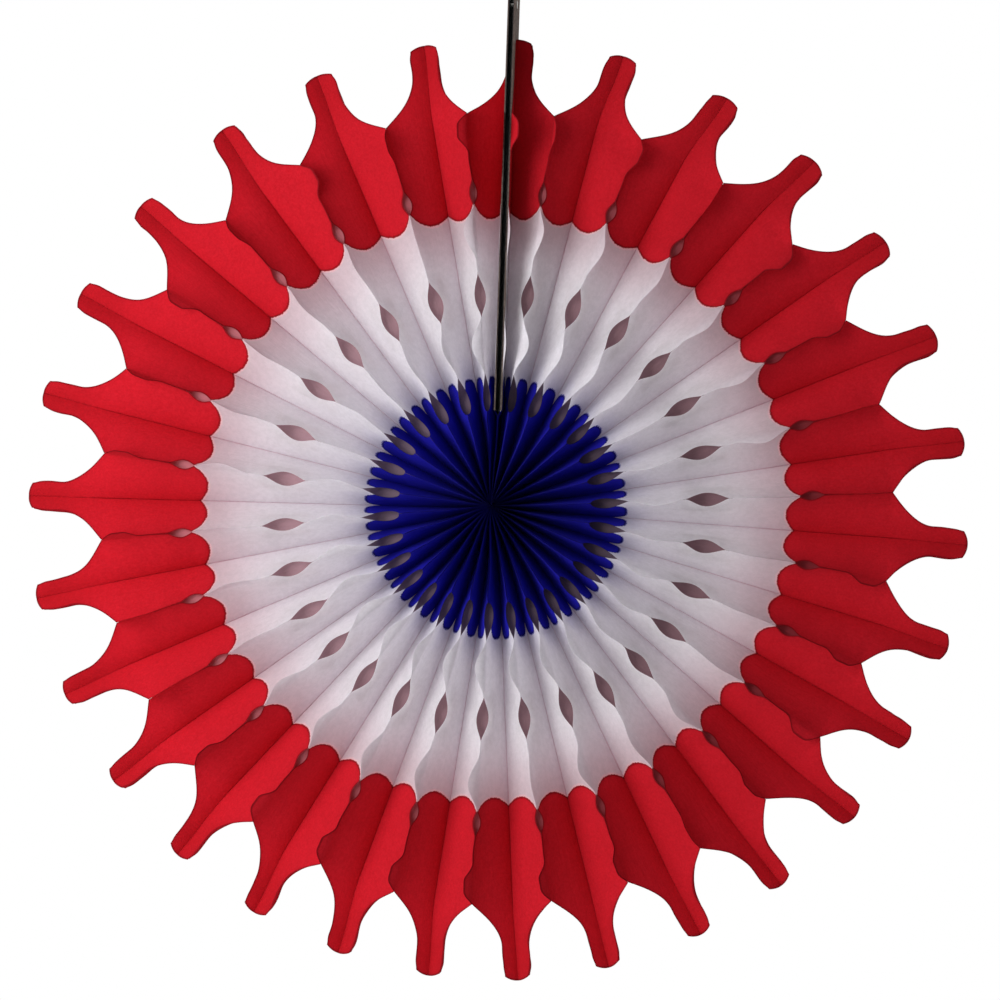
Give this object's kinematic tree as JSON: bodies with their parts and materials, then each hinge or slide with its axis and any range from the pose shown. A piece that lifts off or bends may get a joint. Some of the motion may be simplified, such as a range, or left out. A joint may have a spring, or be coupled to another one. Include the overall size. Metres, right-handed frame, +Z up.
{
  "type": "tissue paper fan rosette",
  "caption": "Hanging die-cut tissue-paper fan, opened into a full pleated circle with cut-out tips and rings of holes, closed by edge-on boards that end in a hanging hole.",
  "frame": {"origin": "middle of the hanging hole, midway between the two boards and straight above the hub", "axes": "+Z up along the boards, -Y towards the front, +X to the right through the hanging hole"},
  "size_m": [0.6889, 0.0766, 0.7338],
  "materials": {
    "tissue": "thin matt tissue paper, dyed red at the rim, left white in the middle and dyed blue at the hub",
    "board": "raw grey chipboard, black on the faces that meet",
    "rivet_steel": "plain steel"
  },
  "bodies": {
    "root": {"petal_01": "tissue", "petal_02": "tissue", "petal_03": "tissue", "petal_04": "tissue", "petal_05": "tissue", "petal_06": "tissue", "petal_07": "tissue", "petal_08": "tissue", "petal_09": "tissue", "petal_10": "tissue", "petal_11": "tissue", "petal_12": "tissue", "petal_13": "tissue", "petal_14": "tissue", "petal_15": "tissue", "petal_16": "tissue", "petal_17": "tissue", "petal_18": "tissue", "petal_19": "tissue", "petal_20": "tissue", "petal_21": "tissue", "petal_22": "tissue", "petal_23": "tissue", "petal_24": "tissue", "petal_25": "tissue", "petal_26": "tissue", "petal_27": "tissue", "petal_28": "tissue", "petal_29": "tissue", "petal_30": "tissue", "board_left": "board", "board_right": "board", "board_rivet": "rivet_steel"}
  },
  "joints": []
}
